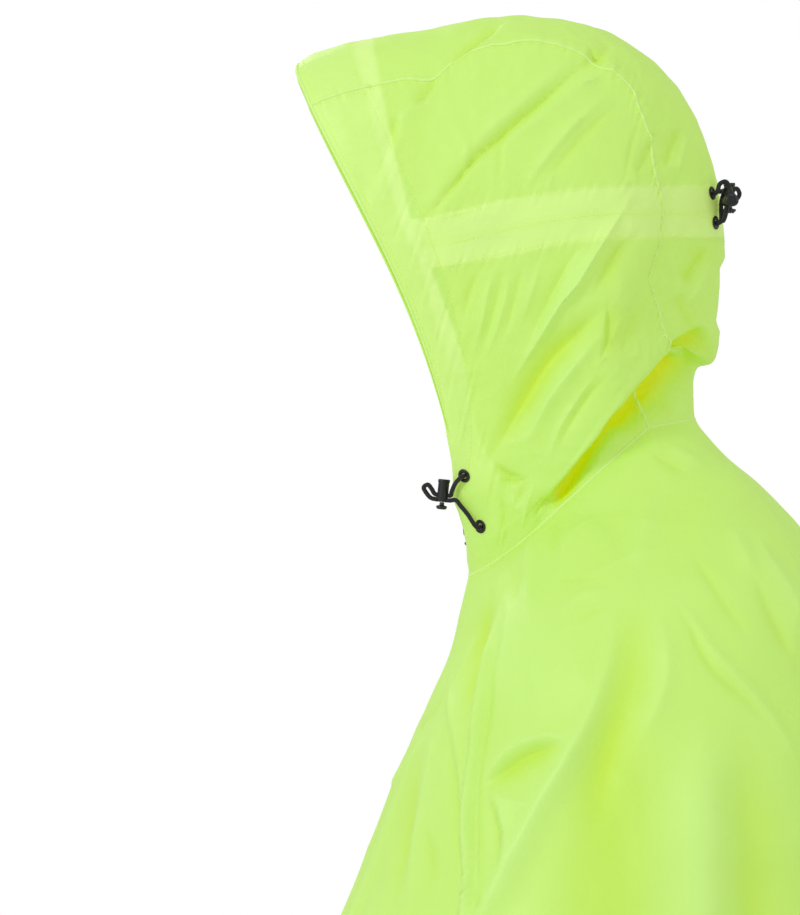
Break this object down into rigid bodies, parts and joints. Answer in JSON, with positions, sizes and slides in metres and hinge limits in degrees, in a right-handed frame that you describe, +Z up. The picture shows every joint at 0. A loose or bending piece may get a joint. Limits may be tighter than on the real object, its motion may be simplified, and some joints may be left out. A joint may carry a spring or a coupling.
{
  "type": "hooded rain poncho, worn, hood up",
  "caption": "Hooded rain poncho in thin hi-vis coated cloth, held open as worn: hood up, cape over the shoulders, elastic drawcords at throat and nape.",
  "frame": {"origin": "centre of the neck seam, where the wearer's shoulders carry the garment", "axes": "+Z up, -Y towards the front of the garment, +X towards the wearer's left"},
  "size_m": [0.7789, 0.5944, 1.3518],
  "materials": {
    "poncho_cloth": "thin plain weave with a waterproof coating, fluorescent yellow-green, slightly translucent, soft sheen",
    "black_hardware": "moulded black plastic, satin",
    "black_elastic": "braided round elastic cord"
  },
  "bodies": {
    "root": {"hood_side_left": "poncho_cloth", "hood_side_right": "poncho_cloth", "hood_centre": "poncho_cloth", "face_casing": "poncho_cloth", "head_casing": "poncho_cloth", "cape": "poncho_cloth", "eyelet_throat_left_upper": "black_hardware", "eyelet_throat_left_lower": "black_hardware", "eyelet_throat_right_upper": "black_hardware", "eyelet_throat_right_lower": "black_hardware", "eyelet_nape_left_upper": "black_hardware", "eyelet_nape_left_lower": "black_hardware", "eyelet_nape_right_upper": "black_hardware", "eyelet_nape_right_lower": "black_hardware", "cord_lock_body_throat_left": "black_hardware", "cord_lock_body_throat_right": "black_hardware", "cord_lock_body_nape_left": "black_hardware", "cord_lock_body_nape_right": "black_hardware", "cord_lock_button_throat_left": "black_hardware", "cord_lock_button_throat_right": "black_hardware", "cord_lock_button_nape_left": "black_hardware", "cord_lock_button_nape_right": "black_hardware", "drawcord_throat_left": "black_elastic", "drawcord_throat_right": "black_elastic", "drawcord_nape_left": "black_elastic", "drawcord_nape_right": "black_elastic"}
  },
  "joints": []
}
